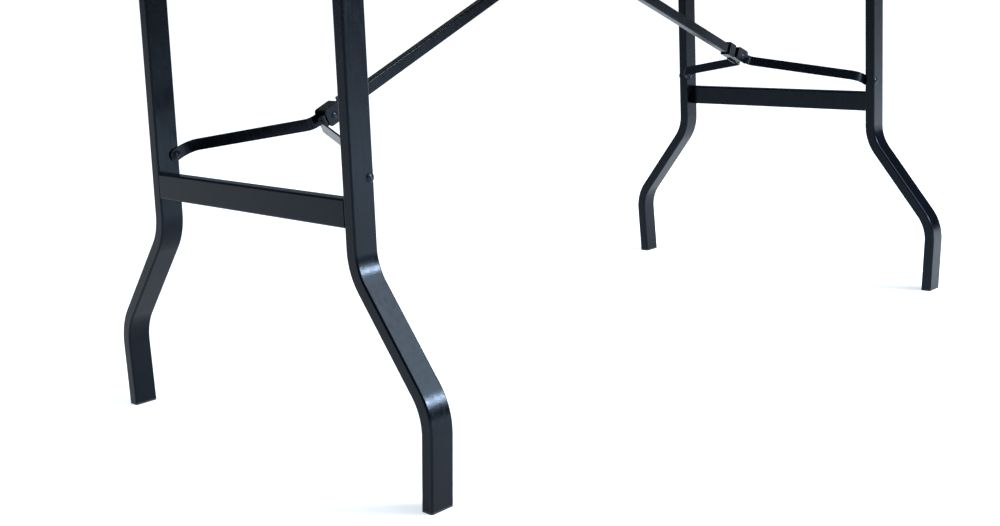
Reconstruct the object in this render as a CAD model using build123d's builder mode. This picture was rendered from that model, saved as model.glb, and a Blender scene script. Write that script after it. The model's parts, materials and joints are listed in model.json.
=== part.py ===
from build123d import *
import math
import os

# Folding table with two bent-leg end frames, yoked centre braces and a laminated top.
# Millimetres.  X runs along the table, Y across it, Z up from the floor, origin on the floor
# below the middle of the top.  side is -1 for the left end and +1 for the right end,
# row is -1 for the front and +1 for the rear.

# ---------------------------------------------------------------- table top
TABLE_LENGTH = 1829.0
TABLE_DEPTH = 762.0
TABLE_HEIGHT = 737.0
CORNER_RADIUS = 32.0
EDGE_BAND = 3.0
CORE_THICKNESS = 16.4
LAMINATE_THICKNESS = 0.8
EDGE_BAND_RADIUS = 1.2

# ---------------------------------------------------------------- end frames
FRAME_INSET = 182.0           # end of the top to the outer face of the legs
LEG_WIDTH = 40.0              # along X
LEG_THICKNESS = 20.0          # across the bends
LEG_WALL = 1.5
LEG_CORNER = 3.0
LEG_SPREAD = 229.0            # centre line of the straight upper leg, from the middle
ANKLE_SPREAD = 358.5          # centre line at the lower bend
FOOT_SPREAD = 350.5           # centre line at the floor
KNEE_HEIGHT = 303.0
ANKLE_HEIGHT = 133.0
LEG_BEND_RADIUS = 85.0
LEG_HEADROOM = 18.0           # leg above the hinge axis
CROSSBAR_HEIGHT = 40.0
CROSSBAR_DEPTH = 20.0
CROSSBAR_WALL = 1.5
CROSSBAR_CORNER = 3.0
CROSSBAR_LOW = 360.5          # underside of the crossbar above the floor
PLUG_FLANGE = 3.0
PLUG_SPIGOT = 18.0
PLUG_PLAY = 0.2

# ---------------------------------------------------------------- hinges under the top
LEG_PIVOT_DROP = 37.0         # hinge axis below the underside of the top
LEG_PIVOT_INSET = 15.0        # hinge axis inward of the outer face of the legs
BRACE_PIVOT_DROP = 19.0
BRACE_PIVOT_OFFSET = 58.4     # brace hinge from the middle of the table
ROD_RADIUS = 5.0
FIT = 0.05                    # radial clearance of every pin in its hole
EAR_PLAY = 1.0                # bracket ear to leg or brace
EAR_THICKNESS = 3.0
EAR_MARGIN = 12.0             # ear material round the hinge axis
EAR_SPLAY = 6.0               # how much further the ear reaches along its base
BASE_THICKNESS = 3.0
HINGE_BASE_LENGTH = 84.0
HINGE_FLANGE = 24.0           # base beyond each ear
BRACE_BASE_LENGTH = 56.0
BRACE_FLANGE = 20.0
ROD_OVERHANG = 6.0
CAP_RADIUS = 9.0
CAP_THICKNESS = 3.0

# ---------------------------------------------------------------- yoke, brace and lock ring
RIVET_INSET = 32.5            # outer face of the legs to the yoke rivet
RIVET_HEIGHT = 426.0
RIVET_RADIUS = 4.0
RIVET_HEAD_RADIUS = 7.5
RIVET_HEAD_HEIGHT = 3.2
STRAP_WIDTH = 19.0
STRAP_THICKNESS = 3.0
STRAP_END_RADIUS = 9.0
STRAP_LEG_PLAY = 0.4
STRAP_RUN_START = 25.0        # where the sloping run of a strap would meet the centre line
STRAP_RUN_ANGLE = 66.6        # sloping run to the centre line, degrees
STRAP_INNER_BEND = 16.0
STRAP_OUTER_BEND = 28.0
BRACE_WIDTH = 15.0            # along Y
BRACE_HEIGHT = 19.0
BRACE_WALL = 1.5
BRACE_CORNER = 1.5
BRACE_TIP = 6.5               # brace beyond the knuckle pin
BRACE_TAIL = 9.0              # brace beyond its hinge axis
KNUCKLE_PLAY = 0.4            # brace side to strap
COVER_WALL = 2.0
COVER_PLAY = 0.05
COVER_BEFORE = 14.0           # knuckle cover on the yoke side of the pin
COVER_AFTER = 22.0            # knuckle cover on the brace side of the pin
COVER_RISE = 14.5
COVER_DROP = 13.0
COVER_CORNER = 5.0
PIN_RADIUS = 4.0
PIN_HEAD_RADIUS = 6.5
PIN_HEAD_HEIGHT = 2.0
RING_START = 30.5             # lock ring from the knuckle pin, up the brace
RING_LENGTH = 20.0
RING_WALL = 2.2
RING_TOP_WALL = 3.0
RING_SIDE_PLAY = 1.0
RING_TOP_PLAY = 0.3
RING_LOOSENESS = 2.0

# ---------------------------------------------------------------- screws and bumpers
SCREW_RADIUS = 2.0
SCREW_DEPTH = 12.0
SCREW_HEAD_RADIUS = 4.2
SCREW_HEAD_HEIGHT = 2.4
SCREW_EDGE = 10.0             # screw centre from the edge of its base plate
BUMPER_RADIUS = 14.0
BUMPER_HEIGHT = 10.0
BUMPER_TAPER = 8.0            # degrees
BUMPER_INSET = 60.0

# ---------------------------------------------------------------- derived places
TOP_THICKNESS = CORE_THICKNESS + 2 * LAMINATE_THICKNESS
UNDERSIDE = TABLE_HEIGHT - TOP_THICKNESS
FRAME_OUTER = TABLE_LENGTH / 2 - FRAME_INSET
LEG_X = FRAME_OUTER - LEG_WIDTH / 2
LEG_INNER_FACE = LEG_SPREAD - LEG_THICKNESS / 2
LEG_OUTER_FACE = LEG_SPREAD + LEG_THICKNESS / 2
PIVOT_X = FRAME_OUTER - LEG_PIVOT_INSET
PIVOT_Z = UNDERSIDE - LEG_PIVOT_DROP
RIVET_X = FRAME_OUTER - RIVET_INSET
BRACE_PIVOT_Z = UNDERSIDE - BRACE_PIVOT_DROP

# The yoke and the brace lie in one straight line when open, and lie back on each other when
# the legs are folded.  That fixes where the knuckle pin divides them.
OPEN_REACH = math.hypot(RIVET_X - BRACE_PIVOT_OFFSET, BRACE_PIVOT_Z - RIVET_HEIGHT)
FOLDED_RIVET_X = PIVOT_X - (PIVOT_Z - RIVET_HEIGHT)
FOLDED_RIVET_Z = PIVOT_Z + PIVOT_X - RIVET_X
FOLDED_REACH = math.hypot(FOLDED_RIVET_X - BRACE_PIVOT_OFFSET, BRACE_PIVOT_Z - FOLDED_RIVET_Z)
YOKE_LENGTH = (OPEN_REACH - FOLDED_REACH) / 2
BRACE_LENGTH = (OPEN_REACH + FOLDED_REACH) / 2
SLOPE_COS = (RIVET_X - BRACE_PIVOT_OFFSET) / OPEN_REACH
SLOPE_SIN = (BRACE_PIVOT_Z - RIVET_HEIGHT) / OPEN_REACH
KNUCKLE_X = RIVET_X - YOKE_LENGTH * SLOPE_COS
KNUCKLE_Z = RIVET_HEIGHT + YOKE_LENGTH * SLOPE_SIN

STRAP_CENTRE = BRACE_WIDTH / 2 + KNUCKLE_PLAY + STRAP_THICKNESS / 2
STRAP_END_CENTRE = LEG_INNER_FACE - STRAP_LEG_PLAY - STRAP_THICKNESS / 2
COVER_INNER = STRAP_CENTRE + STRAP_THICKNESS / 2 + COVER_PLAY
COVER_OUTER = COVER_INNER + COVER_WALL


def place(side, row=0):
    """Name ending for a piece at one end, and one row, of the table."""
    end = "left" if side < 0 else "right"
    return end if row == 0 else ("front_" if row < 0 else "rear_") + end


def save(piece, name):
    """Label a finished piece and write it to its own file."""
    piece.label = name
    export_step(piece, f"parts/{name}.step")


def linkage_plane(side):
    """Side view of the open linkage: x outward and down from the pin, y square to the straps."""
    return Plane(
        origin=(side * KNUCKLE_X, 0, KNUCKLE_Z),
        x_dir=(side * SLOPE_COS, 0, -SLOPE_SIN),
        z_dir=(0, -side, 0),
    )


def yoke_plane(side):
    """Plane that the yoke's straps are bent in: x outward and down from the pin, y across."""
    return Plane(
        origin=(side * KNUCKLE_X, 0, KNUCKLE_Z),
        x_dir=(side * SLOPE_COS, 0, -SLOPE_SIN),
        z_dir=(side * SLOPE_SIN, 0, SLOPE_COS),
    )


def brace_plane(side, distance):
    """Cross-section of the brace at a distance from the knuckle pin, x across, y square up."""
    return Plane(
        origin=(
            side * (KNUCKLE_X - distance * SLOPE_COS),
            0,
            KNUCKLE_Z + distance * SLOPE_SIN,
        ),
        x_dir=(0, side, 0),
        z_dir=(-side * SLOPE_COS, 0, SLOPE_SIN),
    )


def across(row, distance):
    """Vertical plane square to Y at a distance from the middle, facing outward."""
    return Plane(origin=(0, row * distance, 0), x_dir=(-row, 0, 0), z_dir=(0, row, 0))


def base_screw_places(side, axis_x, base_length, base_width):
    """Centres of the four screws of a bracket's base plate, from the bracket's centre."""
    half_x = base_length / 2 - SCREW_EDGE
    half_y = base_width / 2 - SCREW_EDGE
    return [
        (side * axis_x + step_x * half_x, step_y * half_y)
        for step_x in (-1, 1)
        for step_y in (-1, 1)
    ]


HINGE_BASE_WIDTH = LEG_THICKNESS + 2 * (EAR_PLAY + EAR_THICKNESS + HINGE_FLANGE)
BRACE_BASE_WIDTH = BRACE_WIDTH + 2 * (EAR_PLAY + EAR_THICKNESS + BRACE_FLANGE)


def all_screw_places():
    """Centres of every screw in the underside of the top."""
    places = []
    for side in (-1, 1):
        for row in (-1, 1):
            for x, y in base_screw_places(side, PIVOT_X, HINGE_BASE_LENGTH, HINGE_BASE_WIDTH):
                places.append((x, row * LEG_SPREAD + y))
        places += base_screw_places(side, BRACE_PIVOT_OFFSET, BRACE_BASE_LENGTH, BRACE_BASE_WIDTH)
    return places


SCREWS = all_screw_places()


# ================================================================ the top
def make_top():
    core_length = TABLE_LENGTH - 2 * EDGE_BAND
    core_depth = TABLE_DEPTH - 2 * EDGE_BAND
    core_corner = CORNER_RADIUS - EDGE_BAND

    with BuildPart() as core:
        with BuildSketch(Plane.XY.offset(UNDERSIDE + LAMINATE_THICKNESS)):
            RectangleRounded(core_length, core_depth, core_corner)
        extrude(amount=CORE_THICKNESS)
        with BuildSketch(Plane.XY.offset(UNDERSIDE)):
            with Locations(*SCREWS):
                Circle(SCREW_RADIUS + FIT)
        extrude(amount=SCREW_DEPTH + FIT, mode=Mode.SUBTRACT)
    save(core.part, "table_core")

    with BuildPart() as laminate:
        with BuildSketch(Plane.XY.offset(TABLE_HEIGHT - LAMINATE_THICKNESS)):
            RectangleRounded(core_length, core_depth, core_corner)
        extrude(amount=LAMINATE_THICKNESS)
    save(laminate.part, "top_laminate")

    with BuildPart() as backer:
        with BuildSketch(Plane.XY.offset(UNDERSIDE)):
            RectangleRounded(core_length, core_depth, core_corner)
            with Locations(*SCREWS):
                Circle(SCREW_RADIUS + FIT, mode=Mode.SUBTRACT)
        extrude(amount=LAMINATE_THICKNESS)
    save(backer.part, "underside_backer")

    with BuildPart() as band:
        with BuildSketch(Plane.XY.offset(UNDERSIDE)):
            RectangleRounded(TABLE_LENGTH, TABLE_DEPTH, CORNER_RADIUS)
        extrude(amount=TOP_THICKNESS)
        rims = band.edges().filter_by(Plane.XY)
        fillet(rims, radius=EDGE_BAND_RADIUS)
        with BuildSketch(Plane.XY.offset(UNDERSIDE)):
            RectangleRounded(core_length, core_depth, core_corner)
        extrude(amount=TOP_THICKNESS, mode=Mode.SUBTRACT)
    save(band.part, "edge_band")


def make_bumpers():
    with BuildPart() as bumpers:
        with BuildSketch(Plane.XY.offset(UNDERSIDE)):
            with GridLocations(TABLE_LENGTH - 2 * BUMPER_INSET, TABLE_DEPTH - 2 * BUMPER_INSET, 2, 2):
                Circle(BUMPER_RADIUS)
        extrude(amount=-BUMPER_HEIGHT, taper=BUMPER_TAPER)
    save(bumpers.part, "stacking_bumpers")


def make_screws():
    head_face = UNDERSIDE - BASE_THICKNESS
    with BuildPart() as screws:
        with BuildSketch(Plane.XY.offset(head_face)):
            with Locations(*SCREWS):
                Circle(SCREW_RADIUS)
        extrude(amount=SCREW_DEPTH + BASE_THICKNESS)
        with BuildSketch(Plane.XY.offset(head_face)):
            with Locations(*SCREWS):
                Circle(SCREW_HEAD_RADIUS)
        extrude(amount=-SCREW_HEAD_HEIGHT)
        rims = screws.edges().filter_by(GeomType.CIRCLE).group_by(Axis.Z)[0]
        fillet(rims, radius=SCREW_HEAD_HEIGHT / 2)
    save(screws.part, "bracket_screws")


# ================================================================ brackets under the top
def make_bracket(name, side, axis_x, axis_drop, centre_y, gap, base_length, base_width):
    """Base plate with two ears that hold a hinge rod or pin."""
    axis_z = UNDERSIDE - axis_drop
    ear_centre = gap / 2 + EAR_THICKNESS / 2
    with BuildPart() as bracket:
        with BuildSketch(Plane.XY.offset(UNDERSIDE)):
            with Locations((side * axis_x, centre_y)):
                RectangleRounded(base_length, base_width, SCREW_EDGE / 2)
            with Locations(*[
                (x, centre_y + y) for x, y in base_screw_places(side, axis_x, base_length, base_width)
            ]):
                Circle(SCREW_RADIUS + FIT, mode=Mode.SUBTRACT)
        extrude(amount=-BASE_THICKNESS)
        for step in (-1, 1):
            with BuildSketch(Plane.XZ.offset(-(centre_y + step * ear_centre))):
                with BuildLine():
                    half = EAR_MARGIN
                    shoulder = half + EAR_SPLAY
                    top = UNDERSIDE - BASE_THICKNESS
                    x = side * axis_x
                    Polyline(
                        (x - half, axis_z),
                        (x - shoulder, top),
                        (x + shoulder, top),
                        (x + half, axis_z),
                    )
                    ThreePointArc((x - half, axis_z), (x, axis_z - half), (x + half, axis_z))
                make_face()
                with Locations((x, axis_z)):
                    Circle(ROD_RADIUS + FIT, mode=Mode.SUBTRACT)
            extrude(amount=EAR_THICKNESS / 2, both=True)
    save(bracket.part, name)


# ================================================================ end frames
def make_leg(side, row):
    drop = (ANKLE_SPREAD - FOOT_SPREAD) / ANKLE_HEIGHT
    below = LEG_THICKNESS
    with BuildPart() as leg:
        with BuildLine(Plane.YZ.offset(side * LEG_X)):
            centre_line = FilletPolyline(
                (row * LEG_SPREAD, PIVOT_Z + LEG_HEADROOM),
                (row * LEG_SPREAD, KNEE_HEIGHT),
                (row * ANKLE_SPREAD, ANKLE_HEIGHT),
                (row * (FOOT_SPREAD - drop * below), -below),
                radius=LEG_BEND_RADIUS,
            )
        with BuildSketch(Plane(origin=centre_line @ 0, x_dir=(1, 0, 0), z_dir=centre_line % 0)):
            RectangleRounded(LEG_WIDTH, LEG_THICKNESS, LEG_CORNER)
            RectangleRounded(
                LEG_WIDTH - 2 * LEG_WALL,
                LEG_THICKNESS - 2 * LEG_WALL,
                LEG_CORNER - LEG_WALL,
                mode=Mode.SUBTRACT,
            )
        sweep()
        split(bisect_by=Plane.XY.offset(PLUG_FLANGE), keep=Keep.TOP)
        with BuildSketch(Plane.XZ):
            with Locations((side * PIVOT_X, PIVOT_Z)):
                Circle(ROD_RADIUS + FIT)
            with Locations((side * RIVET_X, RIVET_HEIGHT)):
                Circle(RIVET_RADIUS + FIT)
        extrude(amount=TABLE_DEPTH, both=True, mode=Mode.SUBTRACT)
    save(leg.part, f"leg_{place(side, row)}")


def make_plug(side, row):
    """Foot plug: a flange the tube stands on and a spigot pushed up inside it."""
    drop = (ANKLE_SPREAD - FOOT_SPREAD) / ANKLE_HEIGHT
    lean = Vector(0, row * drop, 1)
    foot_y = row * FOOT_SPREAD
    width = LEG_THICKNESS * math.hypot(1, drop)
    inner_width = LEG_WIDTH - 2 * (LEG_WALL + PLUG_PLAY)
    inner_thickness = width - 2 * (LEG_WALL + PLUG_PLAY)
    with BuildPart() as plug:
        with BuildSketch():
            with Locations((side * LEG_X, foot_y)):
                RectangleRounded(LEG_WIDTH, width, LEG_CORNER)
        extrude(amount=PLUG_FLANGE)
        with BuildSketch(Plane.XY.offset(PLUG_FLANGE)):
            with Locations((side * LEG_X, foot_y + row * drop * PLUG_FLANGE)):
                RectangleRounded(inner_width, inner_thickness, LEG_CORNER - LEG_WALL)
        extrude(amount=PLUG_SPIGOT, dir=lean)
        soles = plug.edges().group_by(Axis.Z)[0]
        fillet(soles, radius=PLUG_FLANGE / 4)
    save(plug.part, f"foot_plug_{place(side, row)}")


def make_crossbar(side):
    centre_x = side * (FRAME_OUTER - CROSSBAR_DEPTH / 2)
    with BuildPart() as bar:
        with BuildSketch(Plane.XZ):
            with Locations((centre_x, CROSSBAR_LOW + CROSSBAR_HEIGHT / 2)):
                RectangleRounded(CROSSBAR_DEPTH, CROSSBAR_HEIGHT, CROSSBAR_CORNER)
                RectangleRounded(
                    CROSSBAR_DEPTH - 2 * CROSSBAR_WALL,
                    CROSSBAR_HEIGHT - 2 * CROSSBAR_WALL,
                    CROSSBAR_CORNER - CROSSBAR_WALL,
                    mode=Mode.SUBTRACT,
                )
        extrude(amount=LEG_INNER_FACE, both=True)
    save(bar.part, f"crossbar_{place(side)}")


ROD_HALF = LEG_OUTER_FACE + EAR_PLAY + EAR_THICKNESS + ROD_OVERHANG


def make_hinge_rod(side):
    with BuildPart() as rod:
        with BuildSketch(Plane.XZ):
            with Locations((side * PIVOT_X, PIVOT_Z)):
                Circle(ROD_RADIUS)
        extrude(amount=ROD_HALF, both=True)
    save(rod.part, f"hinge_rod_{place(side)}")

    with BuildPart() as caps:
        for row in (-1, 1):
            with BuildSketch(across(row, ROD_HALF - CAP_THICKNESS)):
                with Locations((-row * side * PIVOT_X, PIVOT_Z)):
                    Circle(CAP_RADIUS)
                    Circle(ROD_RADIUS + FIT, mode=Mode.SUBTRACT)
            extrude(amount=CAP_THICKNESS)
    save(caps.part, f"rod_caps_{place(side)}")


def domed_heads(x, z, seat, radius, height):
    """Front and rear domed heads on an axis along Y, seated a distance from the middle.

    A negative height turns the domes inward.
    """
    heads = []
    for row in (-1, 1):
        seat_y = row * seat
        top_y = row * (seat + height)
        sphere = (radius**2 + height**2) / (2 * abs(height))
        bulge = math.sqrt(0.5) * radius
        bulge_y = top_y - math.copysign(sphere - math.sqrt(sphere**2 - bulge**2), row * height)
        with BuildPart() as head:
            with BuildSketch(Plane.XY.offset(z)):
                with BuildLine():
                    Line((x, top_y), (x, seat_y))
                    Line((x, seat_y), (x + radius, seat_y))
                    ThreePointArc((x + radius, seat_y), (x + bulge, bulge_y), (x, top_y))
                make_face()
            revolve(axis=Axis((x, 0, z), (0, 1, 0)))
        heads.append(head.part)
    return heads


def make_leg_rivets(side):
    """Rivets that hold the yoke in the legs: a shank through the tube and a head outside."""
    heads = domed_heads(side * RIVET_X, RIVET_HEIGHT, LEG_OUTER_FACE, RIVET_HEAD_RADIUS, RIVET_HEAD_HEIGHT)
    with BuildPart() as rivets:
        for row in (-1, 1):
            with BuildSketch(across(row, LEG_INNER_FACE)):
                with Locations((-row * side * RIVET_X, RIVET_HEIGHT)):
                    Circle(RIVET_RADIUS)
            extrude(amount=LEG_THICKNESS)
        add(heads)
    save(rivets.part, f"leg_rivets_{place(side)}")


# ================================================================ yoke
def make_strap(side, row):
    tilt = math.tan(math.radians(STRAP_RUN_ANGLE))
    inner_turn = STRAP_RUN_START + STRAP_CENTRE / tilt
    outer_turn = STRAP_RUN_START + STRAP_END_CENTRE / tilt
    hand = side * row
    plane = yoke_plane(side)
    with BuildPart() as strap:
        with BuildLine(plane):
            centre_line = FilletPolyline(
                (-COVER_AFTER, hand * STRAP_CENTRE),
                (inner_turn, hand * STRAP_CENTRE),
                (outer_turn, hand * STRAP_END_CENTRE),
                (YOKE_LENGTH + STRAP_END_RADIUS, hand * STRAP_END_CENTRE),
                radius=[STRAP_INNER_BEND, STRAP_OUTER_BEND],
            )
        with BuildSketch(Plane(origin=centre_line @ 0, x_dir=plane.z_dir, z_dir=centre_line % 0)):
            Rectangle(STRAP_WIDTH, STRAP_THICKNESS)
        sweep()
        ends = strap.edges().filter_by(Axis.Y)
        fillet(ends, radius=STRAP_END_RADIUS)
        with BuildSketch(Plane.XZ):
            with Locations((side * KNUCKLE_X, KNUCKLE_Z)):
                Circle(PIN_RADIUS + FIT)
            with Locations((side * RIVET_X, RIVET_HEIGHT)):
                Circle(RIVET_RADIUS + FIT)
        extrude(amount=TABLE_DEPTH, both=True, mode=Mode.SUBTRACT)
    save(strap.part, f"yoke_strap_{place(side, row)}")


def make_knuckle_cover(side):
    """Channel over the knuckle, open below so that the brace can swing out of it."""
    length = COVER_BEFORE + COVER_AFTER
    middle = (COVER_BEFORE - COVER_AFTER) / 2
    height = COVER_RISE + COVER_DROP
    with BuildPart() as cover:
        with BuildSketch(linkage_plane(side)):
            with Locations((middle, (COVER_RISE - COVER_DROP) / 2)):
                RectangleRounded(length, height, COVER_CORNER)
        extrude(amount=COVER_OUTER, both=True)
        with BuildSketch(linkage_plane(side)):
            with Locations((middle, (COVER_RISE - COVER_DROP) / 2 - COVER_WALL)):
                Rectangle(2 * length, height)
        extrude(amount=COVER_INNER, both=True, mode=Mode.SUBTRACT)
        with BuildSketch(linkage_plane(side)):
            Circle(PIN_RADIUS + FIT)
        extrude(amount=COVER_OUTER, both=True, mode=Mode.SUBTRACT)
    save(cover.part, f"knuckle_cover_{place(side)}")


def make_knuckle_pin(side):
    heads = domed_heads(side * KNUCKLE_X, KNUCKLE_Z, COVER_OUTER, PIN_HEAD_RADIUS, PIN_HEAD_HEIGHT)
    with BuildPart() as pin:
        with BuildSketch(linkage_plane(side)):
            Circle(PIN_RADIUS)
        extrude(amount=COVER_OUTER, both=True)
        add(heads)
    save(pin.part, f"knuckle_pin_{place(side)}")


def make_strap_rivets(side):
    """Clinched ends of the yoke rivets, in the strap eyes.  They stop short of the legs."""
    inner = STRAP_END_CENTRE - STRAP_THICKNESS / 2
    heads = domed_heads(side * RIVET_X, RIVET_HEIGHT, inner, RIVET_HEAD_RADIUS, -RIVET_HEAD_HEIGHT)
    with BuildPart() as buttons:
        for row in (-1, 1):
            with BuildSketch(across(row, inner)):
                with Locations((-row * side * RIVET_X, RIVET_HEIGHT)):
                    Circle(RIVET_RADIUS)
            extrude(amount=STRAP_THICKNESS)
        add(heads)
    save(buttons.part, f"strap_rivets_{place(side)}")


# ================================================================ brace and lock ring
def make_brace(side):
    length = BRACE_LENGTH + BRACE_TIP + BRACE_TAIL
    with BuildPart() as brace:
        with BuildSketch(brace_plane(side, -BRACE_TIP)):
            RectangleRounded(BRACE_WIDTH, BRACE_HEIGHT, BRACE_CORNER)
            RectangleRounded(
                BRACE_WIDTH - 2 * BRACE_WALL,
                BRACE_HEIGHT - 2 * BRACE_WALL,
                BRACE_CORNER / 2,
                mode=Mode.SUBTRACT,
            )
        extrude(amount=length)
        with BuildSketch(Plane.XZ):
            with Locations((side * KNUCKLE_X, KNUCKLE_Z)):
                Circle(PIN_RADIUS + FIT)
            with Locations((side * BRACE_PIVOT_OFFSET, BRACE_PIVOT_Z)):
                Circle(ROD_RADIUS + FIT)
        extrude(amount=BRACE_WIDTH, both=True, mode=Mode.SUBTRACT)
    save(brace.part, f"centre_brace_{place(side)}")


def make_brace_pin(side):
    """Pin of the brace hinge, with a domed head at each end."""
    half = BRACE_WIDTH / 2 + EAR_PLAY + EAR_THICKNESS
    heads = domed_heads(
        side * BRACE_PIVOT_OFFSET, BRACE_PIVOT_Z, half, RIVET_HEAD_RADIUS, RIVET_HEAD_HEIGHT
    )
    with BuildPart() as pin:
        with BuildSketch(Plane.XZ):
            with Locations((side * BRACE_PIVOT_OFFSET, BRACE_PIVOT_Z)):
                Circle(ROD_RADIUS)
        extrude(amount=half, both=True)
        add(heads)
    save(pin.part, f"brace_pin_{place(side)}")


def make_lock_ring(side):
    hole_width = BRACE_WIDTH + 2 * RING_SIDE_PLAY
    hole_height = BRACE_HEIGHT + RING_TOP_PLAY + RING_LOOSENESS
    hole_centre = BRACE_HEIGHT / 2 + RING_TOP_PLAY - hole_height / 2
    with BuildPart() as ring:
        with BuildSketch(brace_plane(side, RING_START)):
            with Locations((0, hole_centre)):
                RectangleRounded(
                    hole_width + 2 * RING_WALL,
                    hole_height + 2 * RING_TOP_WALL,
                    RING_TOP_WALL,
                )
                RectangleRounded(hole_width, hole_height, RING_WALL / 2, mode=Mode.SUBTRACT)
        extrude(amount=RING_LENGTH)
    save(ring.part, f"lock_ring_{place(side)}")


# ================================================================ build
os.makedirs("parts", exist_ok=True)
make_top()
make_bumpers()
make_screws()
for side in (-1, 1):
    for row in (-1, 1):
        make_bracket(
            f"hinge_bracket_{place(side, row)}",
            side,
            PIVOT_X,
            LEG_PIVOT_DROP,
            row * LEG_SPREAD,
            LEG_THICKNESS + 2 * EAR_PLAY,
            HINGE_BASE_LENGTH,
            HINGE_BASE_WIDTH,
        )
        make_leg(side, row)
        make_plug(side, row)
        make_strap(side, row)
    make_bracket(
        f"brace_bracket_{place(side)}",
        side,
        BRACE_PIVOT_OFFSET,
        BRACE_PIVOT_DROP,
        0,
        BRACE_WIDTH + 2 * EAR_PLAY,
        BRACE_BASE_LENGTH,
        BRACE_BASE_WIDTH,
    )
    make_crossbar(side)
    make_hinge_rod(side)
    make_leg_rivets(side)
    make_knuckle_cover(side)
    make_knuckle_pin(side)
    make_strap_rivets(side)
    make_brace(side)
    make_brace_pin(side)
    make_lock_ring(side)
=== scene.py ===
import json
import math

import bpy
from mathutils import Matrix, Vector

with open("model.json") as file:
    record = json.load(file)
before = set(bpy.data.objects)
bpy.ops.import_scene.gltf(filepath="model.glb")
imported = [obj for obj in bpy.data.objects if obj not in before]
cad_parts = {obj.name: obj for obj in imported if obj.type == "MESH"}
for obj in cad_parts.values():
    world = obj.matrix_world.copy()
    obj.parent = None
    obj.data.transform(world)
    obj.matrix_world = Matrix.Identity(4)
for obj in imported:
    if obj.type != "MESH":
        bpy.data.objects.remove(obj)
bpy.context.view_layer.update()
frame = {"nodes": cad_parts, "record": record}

# Folding table: bent-leg end frames in black powder coat under a laminated top.
# Metres.  X runs along the table, Y across it, Z up from the floor.

NODES = frame["nodes"]


# ================================================================ camera
# Where the photographer stood, which way the lens pointed, and where its axis meets the
# picture.  The picture is cropped from a taller frame, so the axis is above its middle.
IMAGE_WIDTH = 1000
IMAGE_HEIGHT = 526
CAMERA_PLACE = Vector((-1.8341, -1.5211, 0.6919))
CAMERA_HEADING = 0.76735      # from +Y towards +X, radians
CAMERA_DIP = 0.14274          # below the horizon
CAMERA_ROLL = 0.04825
FOCAL_PIXELS = 1309.3
AXIS_COLUMN = 425.0
AXIS_ROW = 160.0
SENSOR_WIDTH = 36.0
CLIP_NEAR = 0.05
CLIP_FAR = 200.0


def make_camera():
    """Camera at the photographer's place."""
    cos_dip = math.cos(CAMERA_DIP)
    forward = Vector((
        math.sin(CAMERA_HEADING) * cos_dip,
        math.cos(CAMERA_HEADING) * cos_dip,
        -math.sin(CAMERA_DIP),
    ))
    level = Vector((math.cos(CAMERA_HEADING), -math.sin(CAMERA_HEADING), 0.0))
    down = forward.cross(level)
    right = math.cos(CAMERA_ROLL) * level + math.sin(CAMERA_ROLL) * down
    down = forward.cross(right)
    data = bpy.data.cameras.new("camera")
    data.sensor_width = SENSOR_WIDTH
    data.lens = FOCAL_PIXELS / IMAGE_WIDTH * SENSOR_WIDTH
    data.shift_x = (IMAGE_WIDTH / 2 - AXIS_COLUMN) / IMAGE_WIDTH
    data.shift_y = (AXIS_ROW - IMAGE_HEIGHT / 2) / IMAGE_WIDTH
    data.clip_start = CLIP_NEAR
    data.clip_end = CLIP_FAR
    camera = bpy.data.objects.new("camera", data)
    bpy.context.scene.collection.objects.link(camera)
    turn = Matrix((right, -down, -forward)).transposed()
    camera.matrix_world = Matrix.Translation(CAMERA_PLACE) @ turn.to_4x4()
    bpy.context.scene.camera = camera


# ================================================================ node helpers
def new_material(name):
    """Material with an empty node tree and a Principled shader on its output."""
    material = bpy.data.materials.new(name)
    material.use_nodes = True
    tree = material.node_tree
    tree.nodes.clear()
    output = tree.nodes.new("ShaderNodeOutputMaterial")
    shader = tree.nodes.new("ShaderNodeBsdfPrincipled")
    tree.links.new(shader.outputs["BSDF"], output.inputs["Surface"])
    return material, tree, shader


def add(tree, kind, links=None, **values):
    """Node with its properties and socket values set, and its inputs linked."""
    node = tree.nodes.new(kind)
    for key, value in values.items():
        if hasattr(node, key):
            setattr(node, key, value)
        else:
            node.inputs[key.replace("_", " ")].default_value = value
    for socket, source in (links or {}).items():
        tree.links.new(source, node.inputs[socket])
    return node


def object_place(tree, stretch=(1.0, 1.0, 1.0)):
    """Object coordinates in metres, stretched along the axes."""
    coordinates = add(tree, "ShaderNodeTexCoord")
    mapping = add(tree, "ShaderNodeMapping", {"Vector": coordinates.outputs["Object"]}, Scale=stretch)
    return mapping.outputs["Vector"]


def noise(tree, place, scale, detail=2.0, roughness=0.5):
    node = add(tree, "ShaderNodeTexNoise", {"Vector": place}, Scale=scale, Detail=detail, Roughness=roughness)
    return node.outputs["Fac"]


def ramp(tree, value, low, high, low_out, high_out):
    """Straight-line map of a value, held at both ends."""
    node = add(
        tree,
        "ShaderNodeMapRange",
        {"Value": value},
        From_Min=low,
        From_Max=high,
        To_Min=low_out,
        To_Max=high_out,
    )
    return node.outputs["Result"]


def colours(tree, value, first, second):
    """Mix of two linear colours by a value."""
    node = tree.nodes.new("ShaderNodeMix")
    node.data_type = "RGBA"
    tree.links.new(value, node.inputs["Factor"])
    node.inputs["A"].default_value = (*first, 1.0)
    node.inputs["B"].default_value = (*second, 1.0)
    return node.outputs["Result"]


def over(tree, value, under, colour):
    """A linear colour laid over another one by a value."""
    node = tree.nodes.new("ShaderNodeMix")
    node.data_type = "RGBA"
    tree.links.new(value, node.inputs["Factor"])
    tree.links.new(under, node.inputs["A"])
    node.inputs["B"].default_value = (*colour, 1.0)
    return node.outputs["Result"]


def bump(tree, shader, height, strength, distance, previous=None):
    links = {"Height": height}
    if previous is not None:
        links["Normal"] = previous
    node = add(tree, "ShaderNodeBump", links, Strength=strength, Distance=distance)
    tree.links.new(node.outputs["Normal"], shader.inputs["Normal"])
    return node.outputs["Normal"]


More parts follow.
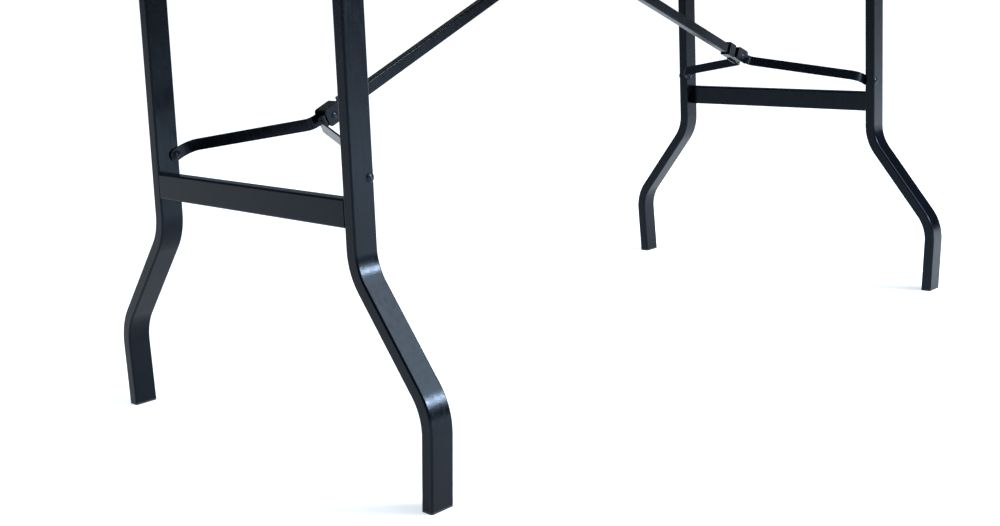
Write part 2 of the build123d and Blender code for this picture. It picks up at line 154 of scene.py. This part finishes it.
EDGE_SAMPLES = 4
EDGE_COSINES = (0.97, 0.80)   # where the mask starts and where it is full


def edge_mask(tree, radius):
    """1 on sharp edges and 0 on flats, from how a rounded normal differs from the true one."""
    rounded = add(tree, "ShaderNodeBevel", Radius=radius)
    rounded.samples = EDGE_SAMPLES
    geometry = add(tree, "ShaderNodeNewGeometry")
    cosine = add(tree, "ShaderNodeVectorMath", operation="DOT_PRODUCT")
    tree.links.new(rounded.outputs["Normal"], cosine.inputs[0])
    tree.links.new(geometry.outputs["Normal"], cosine.inputs[1])
    return ramp(tree, cosine.outputs["Value"], *EDGE_COSINES, 0.0, 1.0)


# ================================================================ materials
BARE_EDGE = (0.02, 0.023, 0.03)
EDGE_RADIUS = 0.0012
COAT_SPECULAR = 0.17
COAT_REFLECTION = (0.66, 0.82, 1.0, 1.0)


def powder_coat(name, tint=(0.0010, 0.0014, 0.0026), gloss=0.17):
    """Semi-gloss black powder coat: orange peel, faint scuffs, thinner and lighter on edges."""
    material, tree, shader = new_material(name)
    place = object_place(tree)
    clouds = noise(tree, place, 9.0, 3.0)
    light = tuple(channel * 1.6 + 0.0004 for channel in tint)
    base = colours(tree, ramp(tree, clouds, 0.35, 0.7, 0.0, 1.0), tint, light)
    patches = noise(tree, place, 60.0, 3.0, 0.65)
    worn = add(tree, "ShaderNodeMath", operation="MULTIPLY")
    tree.links.new(edge_mask(tree, EDGE_RADIUS), worn.inputs[0])
    tree.links.new(ramp(tree, patches, 0.52, 0.72, 0.0, 0.55), worn.inputs[1])
    tree.links.new(over(tree, worn.outputs["Value"], base, BARE_EDGE), shader.inputs["Base Color"])
    streaks = noise(tree, object_place(tree, (1.0, 1.0, 0.12)), 180.0, 2.0)
    tree.links.new(ramp(tree, streaks, 0.3, 0.75, gloss, gloss + 0.11), shader.inputs["Roughness"])
    shader.inputs["Specular IOR Level"].default_value = COAT_SPECULAR
    shader.inputs["Specular Tint"].default_value = COAT_REFLECTION
    peel = noise(tree, place, 520.0, 1.5, 0.4)
    first = bump(tree, shader, peel, 0.16, 0.0006)
    bump(tree, shader, noise(tree, place, 38.0, 2.0), 0.10, 0.0015, first)
    return material


def zinc(name):
    """Zinc-plated steel with fine turning marks and dulled patches."""
    material, tree, shader = new_material(name)
    place = object_place(tree)
    tone = ramp(tree, noise(tree, place, 140.0, 3.0), 0.3, 0.75, 0.0, 1.0)
    tree.links.new(colours(tree, tone, (0.52, 0.53, 0.55), (0.34, 0.35, 0.38)), shader.inputs["Base Color"])
    tree.links.new(ramp(tree, noise(tree, place, 260.0), 0.3, 0.7, 0.28, 0.46), shader.inputs["Roughness"])
    shader.inputs["Metallic"].default_value = 1.0
    bump(tree, shader, noise(tree, object_place(tree, (1.0, 0.15, 1.0)), 1800.0), 0.12, 0.0004)
    return material


def laminate(name):
    """Wood-grain decorative laminate: long figure, fine pores and a satin press texture."""
    material, tree, shader = new_material(name)
    long_grain = object_place(tree, (0.16, 1.0, 1.0))
    warp = noise(tree, long_grain, 3.2, 3.0)
    shifted = add(tree, "ShaderNodeVectorMath", operation="MULTIPLY_ADD")
    tree.links.new(warp, shifted.inputs[0])
    shifted.inputs[1].default_value = (0.05, 0.16, 0.0)
    tree.links.new(long_grain, shifted.inputs[2])
    rings = add(
        tree,
        "ShaderNodeTexWave",
        {"Vector": shifted.outputs["Vector"]},
        bands_direction="Y",
        Scale=7.5,
        Distortion=5.5,
        Detail=3.0,
        Detail_Scale=1.6,
    ).outputs["Fac"]
    tone = colours(tree, rings, (0.205, 0.105, 0.052), (0.105, 0.05, 0.025))
    pores = noise(tree, object_place(tree, (6.0, 260.0, 1.0)), 4.0, 2.0, 0.6)
    pore_mask = ramp(tree, pores, 0.58, 0.70, 0.0, 0.75)
    board = noise(tree, object_place(tree, (0.5, 3.2, 1.0)), 2.0, 1.0)
    board_mask = ramp(tree, board, 0.42, 0.62, 0.0, 0.35)
    shaded = over(tree, board_mask, tone, (0.07, 0.036, 0.02))
    tree.links.new(over(tree, pore_mask, shaded, (0.045, 0.022, 0.012)), shader.inputs["Base Color"])
    tree.links.new(ramp(tree, pores, 0.35, 0.7, 0.58, 0.7), shader.inputs["Roughness"])
    shader.inputs["Specular IOR Level"].default_value = 0.05
    first = bump(tree, shader, pores, 0.22, 0.0003)
    bump(tree, shader, noise(tree, object_place(tree), 900.0), 0.10, 0.0002, first)
    return material


def backing_sheet(name):
    """Plain resin-paper backer: brown-grey, slightly mottled, with faint sanding lines."""
    material, tree, shader = new_material(name)
    mottle = noise(tree, object_place(tree), 26.0, 4.0, 0.62)
    mottle_mix = ramp(tree, mottle, 0.35, 0.68, 0.0, 1.0)
    tone = colours(tree, mottle_mix, (0.105, 0.092, 0.08), (0.15, 0.135, 0.118))
    fibres = noise(tree, object_place(tree, (0.3, 4.0, 1.0)), 120.0, 2.0)
    fibre_mask = ramp(tree, fibres, 0.6, 0.75, 0.0, 0.3)
    tree.links.new(over(tree, fibre_mask, tone, (0.2, 0.18, 0.155)), shader.inputs["Base Color"])
    tree.links.new(ramp(tree, mottle, 0.3, 0.7, 0.55, 0.72), shader.inputs["Roughness"])
    bump(tree, shader, fibres, 0.15, 0.0003)
    return material


def chip_board(name):
    """Particle board: pale and dark chips pressed together."""
    material, tree, shader = new_material(name)
    chips = add(
        tree, "ShaderNodeTexVoronoi", {"Vector": object_place(tree, (1.0, 1.4, 2.2))}, Scale=420.0
    ).outputs["Color"]
    shade = add(tree, "ShaderNodeSeparateColor", {"Color": chips}).outputs["Red"]
    tree.links.new(colours(tree, shade, (0.50, 0.34, 0.19), (0.26, 0.16, 0.085)), shader.inputs["Base Color"])
    tree.links.new(ramp(tree, shade, 0.0, 1.0, 0.75, 0.9), shader.inputs["Roughness"])
    bump(tree, shader, shade, 0.3, 0.0004)
    return material


def moulded(name, tint, roughness, grain=700.0):
    """Moulded plastic or rubber with a fine spark-eroded texture."""
    material, tree, shader = new_material(name)
    place = object_place(tree)
    clouds = noise(tree, place, 30.0, 3.0)
    light = tuple(channel * 1.6 + 0.003 for channel in tint)
    cloud_mix = ramp(tree, clouds, 0.35, 0.7, 0.0, 1.0)
    tree.links.new(colours(tree, cloud_mix, tint, light), shader.inputs["Base Color"])
    texture = noise(tree, place, grain, 2.0)
    tree.links.new(ramp(tree, texture, 0.3, 0.7, roughness, roughness + 0.12), shader.inputs["Roughness"])
    shader.inputs["Specular IOR Level"].default_value = 0.4
    bump(tree, shader, texture, 0.25, 0.0005)
    return material


def dress_nodes():
    """Give every CAD node the finish of its material slot."""
    finishes = {
        "laminate": laminate("wood_grain_laminate"),
        "backer": backing_sheet("backing_sheet"),
        "core_board": chip_board("particle_board"),
        "edge_plastic": moulded("edge_moulding", (0.012, 0.012, 0.013), 0.38),
        "frame_steel": powder_coat("powder_coat_frame"),
        "brace_steel": powder_coat("powder_coat_brace"),
        "bracket_steel": powder_coat("powder_coat_bracket"),
        "rivet_steel": powder_coat("painted_rivet", (0.004, 0.005, 0.008), 0.24),
        "pin_steel": zinc("zinc_pin"),
        "screw_steel": zinc("zinc_screw"),
        "foot_plastic": moulded("foot_plastic", (0.012, 0.012, 0.013), 0.5),
        "bumper_rubber": moulded("bumper_rubber", (0.016, 0.016, 0.016), 0.7, 400.0),
    }
    for entry in frame["record"]["subparts"]:
        node = NODES[entry["node"]]
        finish = finishes[entry["material_slot"]]
        if not node.material_slots:
            node.data.materials.append(finish)
        for place in node.material_slots:
            place.material = finish


# ================================================================ stage and light
FLOOR_SIZE = 60.0
FLOOR_GLOW = (0.66, 1.05)      # near the table and far from it
FLOOR_GLOW_REACH = (1.6, 7.0)  # distances between which the glow changes
DARK_SIDE = (0.62, -0.78, 0.0)  # the unlit end of the studio, behind the lamps
ROOM_TURN = (-0.1, 0.7)         # how far towards the dark side the room fades
ROOM_STRENGTH = (0.26, 0.03)
ROOM_COLOUR = (0.62, 0.79, 1.0, 1.0)
# Name, place, aim, size, power and colour of each lamp: key lights the front faces,
# highlight the outside of the bends, splay the sloping legs, and overhead the top.
LAMPS = (
    ("key", (0.9, -4.4, 3.3), (0.0, 0.0, 0.2), (2.2, 1.6), 95.0, (0.85, 0.93, 1.0)),
    ("highlight", (2.0, -3.65, 1.85), (-0.4, -0.2, 0.3), (1.3, 0.6), 260.0, (0.75, 0.87, 1.0)),
    ("splay", (2.6, -3.2, 3.6), (0.0, 0.0, 0.2), (2.6, 2.0), 140.0, (0.82, 0.91, 1.0)),
    ("overhead", (0.0, 0.6, 4.2), (0.0, 0.0, 0.0), (4.4, 3.0), 120.0, (0.9, 0.95, 1.0)),
)


def make_floor():
    half = FLOOR_SIZE / 2
    mesh = bpy.data.meshes.new("floor")
    mesh.from_pydata(
        [(-half, -half, 0.0), (half, -half, 0.0), (half, half, 0.0), (-half, half, 0.0)], [], [(0, 1, 2, 3)]
    )
    floor = bpy.data.objects.new("floor", mesh)
    bpy.context.scene.collection.objects.link(floor)
    material, tree, shader = new_material("pale_floor")
    tone = noise(tree, object_place(tree), 0.8, 2.0)
    tree.links.new(colours(tree, tone, (0.80, 0.80, 0.80), (0.84, 0.84, 0.84)), shader.inputs["Base Color"])
    shader.inputs["Roughness"].default_value = 0.9
    shader.inputs["Specular IOR Level"].default_value = 0.1
    shader.inputs["Emission Color"].default_value = (0.90, 0.95, 1.0, 1.0)
    reach = add(tree, "ShaderNodeVectorMath", operation="LENGTH")
    tree.links.new(object_place(tree), reach.inputs[0])
    glow = ramp(tree, reach.outputs["Value"], *FLOOR_GLOW_REACH, *FLOOR_GLOW)
    tree.links.new(glow, shader.inputs["Emission Strength"])
    mesh.materials.append(material)


def soft_box(name, place, aim, size, power, colour):
    data = bpy.data.lights.new(name, "AREA")
    data.shape = "RECTANGLE"
    data.size, data.size_y = size
    data.energy = power
    data.color = colour
    light = bpy.data.objects.new(name, data)
    bpy.context.scene.collection.objects.link(light)
    light.location = place
    light.rotation_euler = (Vector(aim) - Vector(place)).to_track_quat("-Z", "Y").to_euler()


def make_light():
    """White room, seen white and lighting the table from its bright end, and the lamps."""
    world = bpy.data.worlds.new("studio")
    bpy.context.scene.world = world
    world.use_nodes = True
    tree = world.node_tree
    tree.nodes.clear()
    output = add(tree, "ShaderNodeOutputWorld")
    seen = add(tree, "ShaderNodeBackground", Color=(1.0, 1.0, 1.0, 1.0), Strength=1.0)
    coordinates = add(tree, "ShaderNodeTexCoord")
    facing = add(tree, "ShaderNodeVectorMath", operation="DOT_PRODUCT")
    tree.links.new(coordinates.outputs["Generated"], facing.inputs[0])
    facing.inputs[1].default_value = DARK_SIDE
    strength = ramp(tree, facing.outputs["Value"], *ROOM_TURN, *ROOM_STRENGTH)
    room = add(tree, "ShaderNodeBackground", {"Strength": strength}, Color=ROOM_COLOUR)
    path = add(tree, "ShaderNodeLightPath")
    mix = add(tree, "ShaderNodeMixShader")
    tree.links.new(path.outputs["Is Camera Ray"], mix.inputs[0])
    tree.links.new(room.outputs[0], mix.inputs[1])
    tree.links.new(seen.outputs[0], mix.inputs[2])
    tree.links.new(mix.outputs[0], output.inputs["Surface"])
    for lamp in LAMPS:
        soft_box(*lamp)
    bpy.context.scene.view_settings.view_transform = "Standard"


make_camera()
dress_nodes()
make_floor()
make_light()
